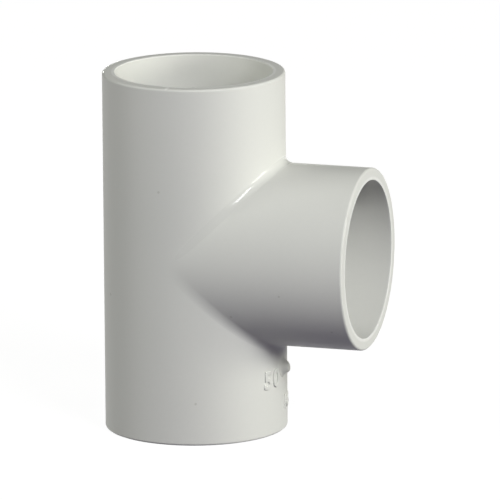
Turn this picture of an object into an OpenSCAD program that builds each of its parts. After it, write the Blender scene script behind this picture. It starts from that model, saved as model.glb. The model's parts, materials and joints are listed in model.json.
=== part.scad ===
// Equal 90 degree tee in moulded plastic, with three plain sockets for 50 mm pressure pipe.
// Millimetres. The run stands along +Z on its lower mouth, whose centre is the origin,
// and the branch points along +X. The moulding is drawn as its three socket arms, which
// meet on the mitre planes through the crossing of the axes.

/* [Pipe] */
// Outside diameter of the pipe that the sockets take
pipe_d = 50; // [25:1:90]
// Radial gap between the pipe and the socket wall, filled by the cement
cement_gap = 0.1; // [0.05:0.05:0.3]

/* [Sockets] */
// Depth to which a pipe goes in
socket_depth = 31; // [18:0.5:60]
// Wall round a socket
socket_wall = 3.9; // [3:0.1:8]
// Width and depth of the lead-in chamfer inside a mouth
lead_in = 0.4; // [0.2:0.1:1.5]
// Radius of the rounded outer edge of a mouth
rim_round = 0.8; // [0.3:0.1:1.4]

/* [Junction] */
// Step that stops a pipe at the bottom of its socket
stop_step = 2.1; // [1:0.1:4]
// Distance from the side of one socket to the pipe stop of the next
stop_margin = 1.4; // [0.6:0.1:6]
// Radius of the fillet in the two crotches
crotch_fillet = 2.5; // [1:0.25:6]

/* [Gate mark] */
// Diameter of the stub that the moulding gate leaves under the branch
gate_d = 4.6; // [2:0.1:8]
// How far the stub stands out of the wall
gate_stand = 2.4; // [0.5:0.1:4]
// Rounding of the stub's end
gate_round = 0.8; // [0.2:0.1:0.9]
// Clear wall between the crotch fillet and the stub
gate_gap = 2.7; // [1:0.1:8]

/* [Hidden] */
plastic = "gainsboro";
$fn = 128;

socket_r = pipe_d / 2 + cement_gap;
outer_r = socket_r + socket_wall;
waterway_r = socket_r - stop_step;
laying_length = socket_r + stop_margin;
arm_reach = laying_length + socket_depth;
gate_drop = outer_r + crotch_fillet + gate_gap + gate_d / 2;

// The crotch fillet is drawn as facets, which line up along it with those of the walls: their number
// along it and across it, the angle from its middle to the ends where it has faded into the walls,
// and how far its edges dip into them
fillet_steps = 50;
fillet_facets = 8;
fillet_end_angle = fillet_steps / 2 * 360 / $fn;
fillet_dip = crotch_fillet / 125;
// Depth inside the wall at which the fillet and the gate stub begin
root_depth = 1.2;
// Overrun of cuts past the faces that they open
overrun = 1;

// Centre of the ball that rolls along the crotch, touching run and branch, at angle t round the run
function ball_centre(t) = (outer_r + crotch_fillet - fillet_dip) * [cos(t), sin(t), cos(t)];

// Point on the ball from the run's side (share 0) round to the branch's side (share 1)
function ball_point(t, share) =
  let (to_run = -[cos(t), sin(t), 0], to_branch = -[0, sin(t), cos(t)])
  let (sweep = acos(to_run * to_branch))
  ball_centre(t) + crotch_fillet / sin(sweep)
    * (sin((1 - share) * sweep) * to_run + sin(share * sweep) * to_branch);

// Cross-section of the fillet at angle t: its hollow face, then its root inside the two walls
function fillet_section(t) =
  let (root_r = outer_r - root_depth, centre = ball_centre(t))
  let (root = root_r * [cos(t), sin(t), cos(t)])
  concat(
    [for (i = [0:fillet_facets]) ball_point(t, i / fillet_facets)],
    [[centre[0], root[1], root[2]], root, [root[0], root[1], centre[2]]]
  );

// Material in the upper crotch, between the run and the branch
module crotch_material() {
  ring = fillet_facets + 4;
  root = fillet_facets + 2;
  last = fillet_steps * ring;
  points = [
    for (i = [0:fillet_steps])
      each fillet_section(fillet_end_angle * (2 * i / fillet_steps - 1))
  ];
  sides = [
    for (i = [0:fillet_steps - 1], j = [0:ring - 1])
      let (a = i * ring + j, b = i * ring + (j + 1) % ring)
      each [[a, b + ring, b], [a, a + ring, b + ring]]
  ];
  ends = [
    for (j = [0:ring - 1])
      let (k = (j + 1) % ring)
      if (j != root && k != root)
        each [[root, j, k], [last + root, last + k, last + j]]
  ];
  polyhedron(points, concat(sides, ends), convexity = 4);
}

// Half section of an arm: radius along x, distance from the crossing of the axes along y
module arm_section() {
  difference() {
    square([outer_r, arm_reach]);
    translate([0, -overrun])
      square([waterway_r, arm_reach + 2 * overrun]);
    translate([0, laying_length])
      square([socket_r, socket_depth + overrun]);
    polygon([
      [socket_r - overrun, arm_reach - lead_in - overrun],
      [socket_r + lead_in + overrun, arm_reach + overrun],
      [socket_r - overrun, arm_reach + overrun]
    ]);
    difference() {
      translate([outer_r - rim_round, arm_reach - rim_round])
        square(rim_round + overrun);
      translate([outer_r - rim_round, arm_reach - rim_round])
        circle(rim_round);
    }
  }
}

// Room inside an arm: waterway and socket
module arm_room() {
  translate([0, 0, -overrun])
    cylinder(r = waterway_r, h = arm_reach + overrun);
  translate([0, 0, laying_length])
    cylinder(r = socket_r, h = socket_depth - lead_in);
}

// Space that the branch takes from the run, between its two mitre planes
module branch_sector() {
  side = arm_reach + overrun;
  rotate([90, 0, 0])
    linear_extrude(2 * side, center = true)
      polygon([[0, 0], [side, side], [side, -side]]);
}

// Upper half of the run, with its share of the upper crotch
module run_arm() {
  difference() {
    union() {
      rotate_extrude()
        arm_section();
      difference() {
        crotch_material();
        arm_room();
      }
    }
    branch_sector();
  }
}

// Stub of the moulding gate, standing out of the wall along +X
module gate_stub() {
  rotate([0, 90, 0])
    rotate_extrude()
      difference() {
        square([gate_d / 2, outer_r + gate_stand]);
        square([gate_d / 2, outer_r - root_depth]);
        translate([gate_d / 2 - gate_round, outer_r + gate_stand - gate_round])
          difference() {
            square(gate_round + overrun);
            circle(gate_round);
          }
      }
}

module upper_socket() {
  color(plastic)
    translate([0, 0, arm_reach])
      run_arm();
}

module lower_socket() {
  color(plastic)
    translate([0, 0, arm_reach]) {
      mirror([0, 0, 1])
        run_arm();
      translate([0, 0, -gate_drop])
        gate_stub();
    }
}

module branch_socket() {
  color(plastic)
    translate([0, 0, arm_reach])
      intersection() {
        union() {
          rotate([0, 90, 0])
            rotate_extrude()
              arm_section();
          difference() {
            union() {
              crotch_material();
              mirror([0, 0, 1])
                crotch_material();
            }
            rotate([0, 90, 0])
              arm_room();
          }
        }
        branch_sector();
      }
}

upper_socket();
lower_socket();
branch_socket();
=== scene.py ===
import json
import math

import bmesh
import bpy
from mathutils import Matrix, Vector


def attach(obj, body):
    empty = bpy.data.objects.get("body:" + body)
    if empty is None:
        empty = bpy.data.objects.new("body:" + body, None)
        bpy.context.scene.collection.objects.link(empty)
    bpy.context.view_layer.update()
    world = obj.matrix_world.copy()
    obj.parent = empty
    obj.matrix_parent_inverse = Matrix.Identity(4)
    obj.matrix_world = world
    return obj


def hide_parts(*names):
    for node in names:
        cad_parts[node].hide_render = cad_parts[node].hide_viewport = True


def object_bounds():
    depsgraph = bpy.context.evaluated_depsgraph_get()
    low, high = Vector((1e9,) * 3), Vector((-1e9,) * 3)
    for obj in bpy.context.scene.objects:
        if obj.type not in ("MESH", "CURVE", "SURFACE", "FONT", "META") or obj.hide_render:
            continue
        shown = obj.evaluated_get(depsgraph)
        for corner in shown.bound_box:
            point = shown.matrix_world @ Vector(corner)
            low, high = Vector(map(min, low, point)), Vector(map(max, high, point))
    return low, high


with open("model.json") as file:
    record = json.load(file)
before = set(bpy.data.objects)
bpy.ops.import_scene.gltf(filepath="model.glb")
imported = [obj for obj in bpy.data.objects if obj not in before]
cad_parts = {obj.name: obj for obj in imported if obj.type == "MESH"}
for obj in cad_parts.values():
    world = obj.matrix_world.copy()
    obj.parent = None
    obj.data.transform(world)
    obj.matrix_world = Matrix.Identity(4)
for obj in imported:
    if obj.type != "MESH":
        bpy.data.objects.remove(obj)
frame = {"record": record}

CAD_LOW, CAD_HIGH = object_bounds()

# Sizes of the moulding in metres. The outside follows the CAD box and the sockets follow the mounts.
MM = 0.001
MOUNTS = {mount["name"]: mount for mount in frame["record"]["mounts"]}
SOCKET = MOUNTS["branch_pipe_socket"]["dims"]
# Height of the parting line, by which the walls lie inside the CAD box
FLASH = 0.03 * MM
REACH = CAD_HIGH.x
OUTER_R = CAD_HIGH.y - FLASH
CROSSING = Vector((0, 0, CAD_HIGH.z / 2))
SOCKET_R = SOCKET["r_mm"] * MM
STOP_STEP = 2.1 * MM
WATERWAY_R = SOCKET_R - STOP_STEP
# The mount's length ends where the lead-in of the CAD begins
LEAD_IN = 0.4 * MM
STOP = REACH - LEAD_IN - SOCKET["length_mm"] * MM
STEPS_ROUND = 192

# Roundings of an arm's edges, and the steps that draw them
RIM_ROUND = 0.8 * MM
RIM_STEPS = 6
MOUTH_ROUND = 0.15 * MM
SEAT_ROUND = 0.3 * MM
STEP_ROUND = 0.4 * MM
EDGE_STEPS = 3

# Rounding where run and branch meet, outside and in the waterway
CROTCH_FILLET = 2.5 * MM
WATERWAY_ROUND = 0.7 * MM
# Its width at the front and back, as a share of its width in the two crotches
APEX_SHARE = 1.2
STRIP_CUTS = 7
# Share of the wall's radius past which its flat ends lie, at the front and back
FLAT_FROM = 0.95

# Parting line: half its width, and the band of wall that is cut for it
PARTING_HALF = 0.2 * MM
PARTING_BAND = 1 * MM

# Stub of the moulding gate
GATE_HEIGHT = 21 * MM
GATE_R = 2.15 * MM
GATE_STAND = 2.1 * MM
GATE_FOOT = 3.5 * MM
GATE_SINK = 0.05 * MM
# Share by which its upper side stands out less, and its lower side more
GATE_LEAN = 0.25
# Power that sets how squarely it ends
GATE_SHOULDER = 6
GATE_STEPS = 48
GATE_RINGS = 16

# Raised numbers: digits, size, angle round the run from the branch, and height
PIPE_SIZE = ("50", 7.8 * MM, -16, 18.1 * MM)
PRESSURE = ("16", 6 * MM, 6, 9 * MM)
NUMBER_STAND = 0.45 * MM
NUMBER_EDGE = 0.28 * MM
NUMBER_EDGE_STEPS = 3
NUMBER_SPREAD = 0.02 * MM
NUMBER_SPACING = 1.2
NUMBER_STRIPS = 24

# Depth inside the wall at which the stub and the numbers begin
ROOT = 0.3 * MM

# Distances within which a point counts as on a line, on a wall or near one
ON_LINE = 0.001 * MM
ON_WALL = 0.01 * MM
NEAR_WALL = 0.05 * MM
NEAR_CROTCH = 0.1 * MM
CUT_MERGE = 1e-7

UP = Vector((0, 0, 1))
OUT = Vector((1, 0, 0))


def start_edit(piece, kind):
    """Opens a piece for editing of its vertices, edges or faces, with nothing selected."""
    if bpy.context.object and bpy.context.object.mode != "OBJECT":
        bpy.ops.object.mode_set(mode="OBJECT")
    bpy.ops.object.select_all(action="DESELECT")
    piece.select_set(True)
    bpy.context.view_layer.objects.active = piece
    bpy.ops.object.mode_set(mode="EDIT")
    bpy.ops.mesh.select_mode(type=kind)
    bpy.ops.mesh.select_all(action="DESELECT")


def end_edit():
    bpy.ops.object.mode_set(mode="OBJECT")


def pick_faces(piece, wanted):
    """Selects the faces whose middle point is wanted."""
    mesh = bmesh.from_edit_mesh(piece.data)
    for face in mesh.faces:
        face.select_set(wanted(face.calc_center_median()))
    bmesh.update_edit_mesh(piece.data)


def pick_edges(piece, wanted):
    """Selects the edges whose two ends are both wanted."""
    mesh = bmesh.from_edit_mesh(piece.data)
    for edge in mesh.edges:
        edge.select_set(all(wanted(vert.co) for vert in edge.verts))
    bmesh.update_edit_mesh(piece.data)


def from_axis(point):
    """Distance of a point from the upright axis of an arm."""
    return math.hypot(point.x, point.y)


def pull_ring(radius, new_radius, height, new_height):
    """Draws the selected ring on to its next radius and height."""
    bpy.ops.mesh.extrude_edges_move(
        TRANSFORM_OT_translate={"value": (0, 0, new_height - height)}
    )
    share = new_radius / radius
    bpy.ops.transform.resize(value=(share, share, 1), center_override=(0, 0, new_height))


def round_ring(arm, radius, height, width, steps):
    """Rounds the edge of an arm that runs round it at one radius and height."""

    def on_ring(point):
        return abs(from_axis(point) - radius) < ON_LINE and abs(point.z - height) < ON_LINE

    start_edit(arm, "EDGE")
    pick_edges(arm, on_ring)
    bpy.ops.mesh.bevel(offset=width, segments=steps, profile=0.5, affect="EDGES")
    end_edit()


def make_arm():
    """One socket arm, upright on the crossing of the axes: waterway, pipe stop, socket, rim and
    outer wall."""
    bpy.ops.object.select_all(action="DESELECT")
    bpy.ops.mesh.primitive_circle_add(vertices=STEPS_ROUND, radius=WATERWAY_R, fill_type="NOTHING")
    arm = bpy.context.object
    bpy.ops.object.mode_set(mode="EDIT")
    bpy.ops.mesh.select_mode(type="EDGE")
    bpy.ops.mesh.select_all(action="SELECT")
    rings = [
        (WATERWAY_R, 0),
        (WATERWAY_R, STOP),
        (SOCKET_R, STOP),
        (SOCKET_R, REACH),
        (OUTER_R, REACH),
        (OUTER_R, 0),
    ]
    for (radius, height), (new_radius, new_height) in zip(rings, rings[1:]):
        pull_ring(radius, new_radius, height, new_height)
    end_edit()
    round_ring(arm, OUTER_R, REACH, RIM_ROUND, RIM_STEPS)
    round_ring(arm, SOCKET_R, REACH, MOUTH_ROUND, EDGE_STEPS)
    round_ring(arm, SOCKET_R, STOP, SEAT_ROUND, EDGE_STEPS)
    round_ring(arm, WATERWAY_R, STOP, STEP_ROUND, EDGE_STEPS)
    return arm


def raise_parting_line(arm):
    """Lifts the faint ridge where the mould halves met, along both sides of an arm's outer wall."""
    top = REACH - RIM_ROUND

    def in_band(point):
        near = abs(from_axis(point) - OUTER_R) < NEAR_WALL
        return near and point.z < top and abs(point.y) < PARTING_BAND

    def on_line(point, across):
        on_wall = abs(from_axis(point) - OUTER_R) < ON_WALL and point.z < top + ON_LINE
        return on_wall and abs(point.y - across) < ON_LINE

    for across in (-PARTING_HALF, PARTING_HALF):
        start_edit(arm, "FACE")
        pick_faces(arm, in_band)
        bpy.ops.mesh.bisect(plane_co=(0, across, 0), plane_no=(0, 1, 0), threshold=CUT_MERGE)
        end_edit()
    start_edit(arm, "EDGE")
    for across in (-PARTING_HALF, 0, PARTING_HALF):
        pick_edges(arm, lambda point: on_line(point, across))
        bpy.ops.mesh.mark_sharp()
    end_edit()
    start_edit(arm, "VERT")
    mesh = bmesh.from_edit_mesh(arm.data)
    for vert in mesh.verts:
        vert.select_set(on_line(vert.co, 0))
    mesh.select_flush_mode()
    bmesh.update_edit_mesh(arm.data)
    bpy.ops.transform.resize(
        value=((OUTER_R + FLASH) / OUTER_R, 1, 1), center_override=(0, 0, 0)
    )
    end_edit()


def trim_arm(arm, side):
    """Cuts an upright arm clear of the rounding between run and branch, outside and in the
    waterway, on one side."""
    for wall_r, round_r in ((OUTER_R, CROTCH_FILLET), (WATERWAY_R, WATERWAY_ROUND)):
        slope = 1 + round_r * (1 - APEX_SHARE) / wall_r
        plane = UP * round_r * APEX_SHARE
        across = (UP - slope * side).normalized()

        def on_wall(point):
            near = abs(from_axis(point) - wall_r) < NEAR_WALL
            return near and point.dot(side) > 0 and point.z < REACH - RIM_ROUND

        start_edit(arm, "FACE")
        pick_faces(arm, on_wall)
        bpy.ops.mesh.bisect(plane_co=plane, plane_no=across, threshold=CUT_MERGE)
        bpy.ops.mesh.select_all(action="DESELECT")
        pick_faces(arm, lambda point: on_wall(point) and (point - plane).dot(across) < 0)
        bpy.ops.mesh.delete(type="FACE")
        end_edit()


def copy_arm(arm, name):
    """A copy of an arm, with its own mesh."""
    piece = arm.copy()
    piece.data = arm.data.copy()
    piece.name = name
    bpy.context.scene.collection.objects.link(piece)
    return piece


def set_in_place(piece, turn):
    """Turns an arm on the crossing of the axes, moves it there and fixes its place in its mesh."""
    bpy.ops.object.select_all(action="DESELECT")
    piece.select_set(True)
    bpy.context.view_layer.objects.active = piece
    piece.matrix_world = Matrix.Translation(CROSSING) @ turn
    bpy.ops.object.transform_apply(location=True, rotation=True, scale=True)


def join(pieces):
    """Makes one piece of several, in the place of the first."""
    bpy.ops.object.select_all(action="DESELECT")
    for piece in pieces:
        piece.select_set(True)
    bpy.context.view_layer.objects.active = pieces[0]
    bpy.ops.object.join()
    return bpy.context.object


def merge_doubles(piece):
    """Joins the vertices that lie on one another."""
    start_edit(piece, "VERT")
    bpy.ops.mesh.select_all(action="SELECT")
    bpy.ops.mesh.remove_doubles(threshold=ON_LINE)
    end_edit()


def pick_crotch_edges(tee, wall_r, wanted):
    """Selects the open edges of one wall where run and branch meet, if their middle point, seen
    from the crossing of the axes, is wanted."""
    mesh = bmesh.from_edit_mesh(tee.data)
    for edge in mesh.edges:
        middle = (edge.verts[0].co + edge.verts[1].co) / 2 - CROSSING
        near = min(math.hypot(middle.x, middle.y), math.hypot(middle.y, middle.z))
        on_wall = abs(near - wall_r) < NEAR_CROTCH
        edge.select_set(edge.is_boundary and on_wall and wanted(middle))
    bmesh.update_edit_mesh(tee.data)


def round_crotch(tee, wall_r, round_r):
    """Joins run and branch, above and below, with a strip that rounds the corner between their
    walls. The strip is as wide as the radius in the two crotches and a little wider at the front
    and back, where it ends in a flat."""
    for side in (1, -1):
        start_edit(tee, "EDGE")
        old = len(tee.data.vertices)
        pick_crotch_edges(
            tee, wall_r, lambda middle: middle.z * side > 0 and middle.x > ON_WALL
        )
        bpy.ops.mesh.bridge_edge_loops(number_cuts=STRIP_CUTS, interpolation="LINEAR")
        mesh = bmesh.from_edit_mesh(tee.data)
        mesh.verts.ensure_lookup_table()
        for vert in mesh.verts[old:]:
            across = vert.co.y
            corner = wall_r * math.sqrt(max(0.0, 1 - (across / wall_r) ** 2))
            width = round_r * APEX_SHARE + round_r * (1 - APEX_SHARE) * corner / wall_r
            share = (vert.co.x - corner) / width
            pull = math.sqrt(2) * share * (1 - share)
            whole = share**2 + pull + (1 - share) ** 2
            out, up = width * share**2 / whole, width * (1 - share) ** 2 / whole
            vert.co = CROSSING + Vector((corner + out, across, side * (corner + up)))
        bmesh.update_edit_mesh(tee.data)
        end_edit()
    start_edit(tee, "EDGE")
    pick_crotch_edges(tee, wall_r, lambda middle: abs(middle.y) > FLAT_FROM * wall_r)
    bpy.ops.mesh.fill_holes(sides=0)
    end_edit()


def make_gate_stub():
    """The stub of the moulding gate on the run under the branch, worn round, with a soft foot on
    the wall."""
    bpy.ops.object.select_all(action="DESELECT")
    bpy.ops.mesh.primitive_circle_add(
        vertices=GATE_STEPS, radius=GATE_FOOT, location=(0, 0, -ROOT), fill_type="NGON"
    )
    stub = bpy.context.object
    bpy.ops.object.transform_apply(location=True, rotation=True, scale=True)
    start_edit(stub, "EDGE")
    bpy.ops.mesh.select_all(action="SELECT")
    radius, height = GATE_FOOT, -ROOT
    for ring in range(GATE_RINGS):
        new_radius = GATE_FOOT * (1 - ring / GATE_RINGS)
        new_height = GATE_STAND / (1 + (new_radius / GATE_R) ** GATE_SHOULDER) - GATE_SINK
        pull_ring(radius, new_radius, height, new_height)
        radius, height = new_radius, new_height
    bpy.ops.mesh.edge_face_add()
    mesh = bmesh.from_edit_mesh(stub.data)
    for vert in mesh.verts:
        across, along, height = vert.co
        if height > 0:
            height *= 1 - GATE_LEAN * max(-1.0, min(1.0, along / GATE_R))
        wall = math.sqrt(OUTER_R**2 - across**2)
        vert.co = Vector((wall + height, across, GATE_HEIGHT + along))
    bmesh.update_edit_mesh(stub.data)
    end_edit()
    return stub


def raised_number(digits, size, turn, height):
    """A number raised on the run's outer wall, with its middle at an angle round the run from the
    branch."""
    bpy.ops.object.select_all(action="DESELECT")
    bpy.ops.object.text_add()
    text = bpy.context.object.data
    text.body = digits
    text.size = size
    text.space_character = NUMBER_SPACING
    text.align_x = "CENTER"
    text.align_y = "CENTER"
    text.extrude = (NUMBER_STAND + ROOT) / 2 - NUMBER_EDGE
    text.bevel_depth = NUMBER_EDGE
    text.bevel_resolution = NUMBER_EDGE_STEPS
    text.offset = NUMBER_SPREAD
    bpy.ops.object.convert(target="MESH")
    number = bpy.context.object
    merge_doubles(number)
    start_edit(number, "FACE")
    for strip in range(1, NUMBER_STRIPS):
        bpy.ops.mesh.select_all(action="SELECT")
        across = number.dimensions.x * (strip / NUMBER_STRIPS - 0.5)
        bpy.ops.mesh.bisect(plane_co=(across, 0, 0), plane_no=(1, 0, 0), threshold=CUT_MERGE)
    mesh = bmesh.from_edit_mesh(number.data)
    for vert in mesh.verts:
        angle = math.radians(turn) + vert.co.x / OUTER_R
        radius = OUTER_R + (NUMBER_STAND - ROOT) / 2 + vert.co.z
        vert.co = Vector((radius * math.cos(angle), radius * math.sin(angle), height + vert.co.y))
    bmesh.update_edit_mesh(number.data)
    end_edit()
    return number


# The moulding: three arms, the roundings where they meet, the gate's stub and the numbers
arm = make_arm()
raise_parting_line(arm)
run_arm = copy_arm(arm, "run_arm")
trim_arm(run_arm, OUT)
lower_arm = copy_arm(run_arm, "lower_arm")
set_in_place(run_arm, Matrix.Identity(4))
set_in_place(lower_arm, Matrix.Scale(-1, 4, UP))
trim_arm(arm, OUT)
trim_arm(arm, -OUT)
set_in_place(arm, Matrix.Rotation(math.radians(90), 4, "Y"))
run = join([run_arm, lower_arm])
merge_doubles(run)
tee = join([run, arm])
round_crotch(tee, OUTER_R, CROTCH_FILLET)
round_crotch(tee, WATERWAY_R, WATERWAY_ROUND)
merge_doubles(tee)
gate_stub = make_gate_stub()
pipe_size = raised_number(*PIPE_SIZE)
pressure = raised_number(*PRESSURE)
tee = join([tee, gate_stub, pipe_size, pressure])
tee.name = "tee_moulding"
tee.data.name = "tee_moulding"
start_edit(tee, "FACE")
bpy.ops.mesh.select_all(action="SELECT")
bpy.ops.mesh.normals_make_consistent(inside=False)
end_edit()
bpy.ops.object.shade_smooth()
bpy.ops.object.modifier_add(type="WEIGHTED_NORMAL")
weighted = tee.modifiers[-1]
weighted.mode = "FACE_AREA"
weighted.weight = 100
weighted.keep_sharp = True
bpy.ops.object.modifier_apply(modifier=weighted.name)

# Noises in the plastic, each with its scale and detail, and the range that they mostly keep to
DRIFT = (18, 2)
MOTTLE = (900, 3)
WAVES = (240, 1)
GRAIN = (1500, 2)
NOISE_RANGE = (0.3, 0.7)

# Tones of the plastic
DEEP_TONE = (0.735, 0.738, 0.708)
LIGHT_TONE = (0.765, 0.763, 0.732)
MOTTLE_TONE = (0.62, 0.625, 0.6)
MOTTLE_SHARE = 0.06
SPECK_TONE = (0.6, 0.6, 0.56)
# Pale tone of the painted highlight on the lips and of the pale spot on the upper rim
PALE_TONE = (0.9, 0.9, 0.88)

# Specks, in cells of which some have none
SPECK_CELLS = 95
SPECK_NONE = 0.45
SPECK_EDGE = (0.03, 0.055)
SPECK_RAGGED = 0.012
SPECK_SHARE = 0.8

# Pale spot on the front of the upper rim: its middle, half its size, its soft edge and its share
PALE_SPOT_PLACE = (0.1 * MM, -27.3 * MM, 2 * REACH)
PALE_SPOT_SIZE = (0.9 * MM, 2.1 * MM, 0.9 * MM)
PALE_SPOT_EDGE = (0.4, 1)
PALE_SPOT_SHARE = 0.9

# Painted highlight on the lips: where it fades across the rim and along the bore, its least and most
# share
LIP_ACROSS = (SOCKET_R + 0.7 * MM, SOCKET_R + 1.3 * MM)
LIP_ALONG = (REACH - 0.5 * MM, REACH - 0.2 * MM)
LIP_SHARE = (0.55, 0.85)

# Satin skin: least and most roughness, what the drift adds, sheen, and heights in millimetres
SATIN = (0.48, 0.51)
SATIN_DRIFT = 0.03
SHEEN = 0.3
WAVE_HEIGHT = 0.012
GRAIN_HEIGHT = 0.001

# Polish in the upper crotch: what it takes off the roughness, and where it sets in
POLISH = 0.38
POLISH_OFF_WALLS = (OUTER_R + 0.005 * MM, OUTER_R + 0.06 * MM)
POLISH_RISE = (CROSSING.z, CROSSING.z + 5 * MM)
# Where it fades out towards the back
POLISH_BACK = (4 * MM, 12 * MM)


def moulded_pvc():
    """Pale grey moulded plastic: a slow drift of tone, a fine mottle, a few dark specks, and a
    satin skin that waves a little and is polished in the upper crotch. A painted highlight lies
    along the lips of the mouths, and a pale spot on the front of the upper rim."""
    plastic = bpy.data.materials.new("moulded_pvc")
    plastic.use_nodes = True
    nodes, links = plastic.node_tree.nodes, plastic.node_tree.links
    shader = nodes["Principled BSDF"]
    place = nodes.new("ShaderNodeTexCoord").outputs["Object"]
    level = nodes.new("ShaderNodeSeparateXYZ")
    links.new(place, level.inputs["Vector"])

    def noise(scale, detail):
        texture = nodes.new("ShaderNodeTexNoise")
        texture.inputs["Scale"].default_value = scale
        texture.inputs["Detail"].default_value = detail
        links.new(place, texture.inputs["Vector"])
        return texture.outputs["Fac"]

    def graded(value, span, to_low, to_high, smooth=False):
        """Turns a span of a value into another span."""
        grade = nodes.new("ShaderNodeMapRange")
        if smooth:
            grade.interpolation_type = "SMOOTHSTEP"
        grade.inputs["From Min"].default_value = span[0]
        grade.inputs["From Max"].default_value = span[1]
        grade.inputs["To Min"].default_value = to_low
        grade.inputs["To Max"].default_value = to_high
        links.new(value, grade.inputs["Value"])
        return grade.outputs["Result"]

    def figure(kind, first, second):
        """Works out a figure from two others, each a number or an output."""
        reckoner = nodes.new("ShaderNodeMath")
        reckoner.operation = kind
        for socket, value in zip(reckoner.inputs, (first, second)):
            if isinstance(value, float):
                socket.default_value = value
            else:
                links.new(value, socket)
        return reckoner.outputs[0]

    def blend(share, first, second):
        """Mixes a share of the second tone into the first, each a colour or an output."""
        mix = nodes.new("ShaderNodeMix")
        mix.data_type = "RGBA"
        links.new(share, mix.inputs["Factor"])
        for socket, colour in ((mix.inputs["A"], first), (mix.inputs["B"], second)):
            if isinstance(colour, tuple):
                socket.default_value = colour + (1,)
            else:
                links.new(colour, socket)
        return mix.outputs["Result"]

    def length(vector):
        measure = nodes.new("ShaderNodeVectorMath")
        measure.operation = "LENGTH"
        links.new(vector, measure.inputs[0])
        return measure.outputs["Value"]

    def axis_distance(centre, across):
        """Distance from an axis through a centre, which leaves out the direction along it."""
        from_centre = nodes.new("ShaderNodeVectorMath")
        from_centre.operation = "SUBTRACT"
        from_centre.inputs[1].default_value = centre
        links.new(place, from_centre.inputs[0])
        flat = nodes.new("ShaderNodeVectorMath")
        flat.operation = "MULTIPLY"
        flat.inputs[1].default_value = across
        links.new(from_centre.outputs["Vector"], flat.inputs[0])
        return length(flat.outputs["Vector"])

    def lip(radius, along):
        """Margin of a mouth next to its bore."""
        return figure(
            "MULTIPLY",
            graded(radius, LIP_ACROSS, 1, 0, smooth=True),
            graded(along, LIP_ALONG, 0, 1),
        )

    drift = noise(*DRIFT)
    mottle = noise(*MOTTLE)
    waves = noise(*WAVES)
    grain = noise(*GRAIN)
    from_run = axis_distance((0, 0, 0), (1, 1, 0))
    from_branch = axis_distance(CROSSING, (0, 1, 1))

    cells = nodes.new("ShaderNodeTexVoronoi")
    cells.inputs["Scale"].default_value = SPECK_CELLS
    links.new(place, cells.inputs["Vector"])
    cell_chance = nodes.new("ShaderNodeSeparateColor")
    links.new(cells.outputs["Color"], cell_chance.inputs["Color"])
    ragged = graded(mottle, NOISE_RANGE, -SPECK_RAGGED, SPECK_RAGGED)
    speck_edge = figure("ADD", cells.outputs["Distance"], ragged)
    specks = figure(
        "MULTIPLY",
        graded(speck_edge, SPECK_EDGE, SPECK_SHARE, 0, smooth=True),
        figure("GREATER_THAN", cell_chance.outputs["Red"], SPECK_NONE),
    )

    # Pale spot on the front of the upper rim
    pale_spot_place = nodes.new("ShaderNodeMapping")
    pale_spot_place.vector_type = "TEXTURE"
    pale_spot_place.inputs["Location"].default_value = PALE_SPOT_PLACE
    pale_spot_place.inputs["Scale"].default_value = PALE_SPOT_SIZE
    links.new(place, pale_spot_place.inputs["Vector"])
    from_pale_spot = length(pale_spot_place.outputs["Vector"])
    pale_spot = graded(from_pale_spot, PALE_SPOT_EDGE, PALE_SPOT_SHARE, 0, smooth=True)

    along_run = figure("ABSOLUTE", figure("SUBTRACT", level.outputs["Z"], CROSSING.z), 0.0)
    # Painted highlight: a paler band on the lips of the mouths, next to their bores
    lips = figure("MAXIMUM", lip(from_run, along_run), lip(from_branch, level.outputs["X"]))
    lip_highlight = figure("MULTIPLY", lips, graded(mottle, NOISE_RANGE, *LIP_SHARE))

    tone = blend(graded(drift, NOISE_RANGE, 0, 1), DEEP_TONE, LIGHT_TONE)
    tone = blend(graded(mottle, NOISE_RANGE, 0, MOTTLE_SHARE), tone, MOTTLE_TONE)
    tone = blend(specks, tone, SPECK_TONE)
    tone = blend(lip_highlight, tone, PALE_TONE)
    tone = blend(pale_spot, tone, PALE_TONE)
    links.new(tone, shader.inputs["Base Color"])

    polish = figure(
        "MULTIPLY",
        graded(figure("MINIMUM", from_run, from_branch), POLISH_OFF_WALLS, 0, POLISH, smooth=True),
        graded(level.outputs["Z"], POLISH_RISE, 0, 1),
    )
    polish = figure("MULTIPLY", polish, graded(level.outputs["Y"], POLISH_BACK, 1, 0))
    satin = figure(
        "ADD",
        graded(mottle, NOISE_RANGE, *SATIN),
        graded(drift, NOISE_RANGE, 0, SATIN_DRIFT),
    )
    links.new(figure("SUBTRACT", satin, polish), shader.inputs["Roughness"])
    shader.inputs["Specular IOR Level"].default_value = SHEEN

    skin = nodes.new("ShaderNodeBump")
    skin.inputs["Distance"].default_value = MM
    skin_height = figure(
        "ADD",
        graded(waves, (0, 1), 0, WAVE_HEIGHT),
        graded(grain, (0, 1), 0, GRAIN_HEIGHT),
    )
    links.new(skin_height, skin.inputs["Height"])
    links.new(skin.outputs["Normal"], shader.inputs["Normal"])
    return plastic


tee.data.materials.clear()
tee.data.materials.append(moulded_pvc())
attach(tee, "root")
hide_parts("upper_socket", "lower_socket", "branch_socket")


def toward(turn, rise):
    """Direction to a point at an angle round the part from the front, and at an angle of rise."""
    turn, rise = math.radians(turn), math.radians(rise)
    level = math.cos(rise)
    return Vector((math.sin(turn) * level, -math.cos(turn) * level, math.sin(rise)))


# Camera at the photograph's place, far off with a long lens
VIEW_TURN = 17.75
VIEW_RISE = 13
VIEW_ROLL = -0.44
VIEW_DISTANCE = 3.501
VIEW_END = 100
LENS = 795
AIM_RIGHT = 17.39 * MM
AIM_DOWN = 0.73 * MM

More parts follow.
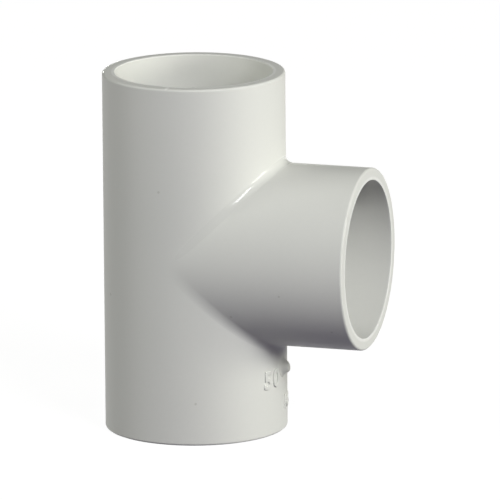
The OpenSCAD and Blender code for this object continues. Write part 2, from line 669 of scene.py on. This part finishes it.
toward_viewer = toward(VIEW_TURN, VIEW_RISE)
viewer_right = toward(VIEW_TURN + 90, 0)
viewer_up = toward_viewer.cross(viewer_right)
aim = CROSSING + viewer_right * AIM_RIGHT - viewer_up * AIM_DOWN
bpy.ops.object.camera_add(location=aim + toward_viewer * VIEW_DISTANCE)
camera = bpy.context.object
level_view = (-toward_viewer).to_track_quat("-Z", "Y").to_matrix()
roll = Matrix.Rotation(math.radians(VIEW_ROLL), 3, "Z")
camera.rotation_euler = (level_view @ roll).to_euler()
camera.data.lens = LENS
camera.data.clip_end = VIEW_END
bpy.context.scene.camera = camera

# White floor that keeps a faint shadow and throws little light back
FLOOR_SIZE = 30
FLOOR_WHITE = 0.94
FLOOR_SHADED = (0.14, 0.14, 0.14, 1)
FLOOR_BOUNCE = (0.038, 0.025, 0.08, 1)


def floor_paper():
    """White with a shadow where the floor is seen, straight or mirrored, and dim where it only
    throws light on the part."""
    paper = bpy.data.materials.new("floor_paper")
    paper.use_nodes = True
    nodes, links = paper.node_tree.nodes, paper.node_tree.links
    nodes.clear()
    white = nodes.new("ShaderNodeEmission")
    white.inputs["Color"].default_value = (1, 1, 1, 1)
    white.inputs["Strength"].default_value = FLOOR_WHITE
    shaded = nodes.new("ShaderNodeBsdfDiffuse")
    shaded.inputs["Color"].default_value = FLOOR_SHADED
    seen = nodes.new("ShaderNodeAddShader")
    links.new(white.outputs[0], seen.inputs[0])
    links.new(shaded.outputs[0], seen.inputs[1])
    bounce = nodes.new("ShaderNodeBsdfDiffuse")
    bounce.inputs["Color"].default_value = FLOOR_BOUNCE

    ray = nodes.new("ShaderNodeLightPath")
    is_seen = ray.outputs["Is Camera Ray"]
    for kind in ("Is Glossy Ray", "Is Transmission Ray"):
        either = nodes.new("ShaderNodeMath")
        either.operation = "MAXIMUM"
        links.new(is_seen, either.inputs[0])
        links.new(ray.outputs[kind], either.inputs[1])
        is_seen = either.outputs[0]

    choice = nodes.new("ShaderNodeMixShader")
    links.new(is_seen, choice.inputs[0])
    links.new(bounce.outputs[0], choice.inputs[1])
    links.new(seen.outputs[0], choice.inputs[2])
    output = nodes.new("ShaderNodeOutputMaterial")
    links.new(choice.outputs[0], output.inputs["Surface"])
    return paper


bpy.ops.object.select_all(action="DESELECT")
bpy.ops.mesh.primitive_plane_add(size=FLOOR_SIZE)
floor = bpy.context.object
floor.name = "floor"
floor.data.materials.append(floor_paper())

# Soft boxes: angle from the viewer round to the right, rise, width, height, power and colour
LAMPS = {
    "key_lamp": (32, 31, 0.62, 0.36, 14.9, (0.99, 1, 0.99)),
    "side_lamp": (76, 11, 0.78, 0.36, 9.5, (0.99, 1, 0.88)),
    "fill_lamp": (-80, 18, 0.5, 0.6, 8, (0.98, 1, 0.92)),
    "back_lamp": (187, 0, 0.2, 0.09, 10, (0.99, 1, 0.95)),
}
LAMP_AIM = CROSSING + OUT * 12 * MM
LAMP_DISTANCE = 1.5
WORLD_LIGHT = (0.096, 0.096, 0.096, 1)


def soft_lamp(name, turn, rise, width, height, power, colour):
    """A soft box turned to the middle of the part."""
    toward_lamp = toward(VIEW_TURN + turn, rise)
    bpy.ops.object.light_add(type="AREA", location=LAMP_AIM + toward_lamp * LAMP_DISTANCE)
    lamp = bpy.context.object
    lamp.name = name
    lamp.rotation_euler = (-toward_lamp).to_track_quat("-Z", "Y").to_euler()
    lamp.data.shape = "RECTANGLE"
    lamp.data.size = width
    lamp.data.size_y = height
    lamp.data.energy = power
    lamp.data.color = colour


for lamp_name, settings in LAMPS.items():
    soft_lamp(lamp_name, *settings)

world = bpy.data.worlds.new("studio")
bpy.context.scene.world = world
world.use_nodes = True
world.node_tree.nodes["Background"].inputs["Color"].default_value = WORLD_LIGHT

bpy.context.scene.view_settings.view_transform = "Standard"
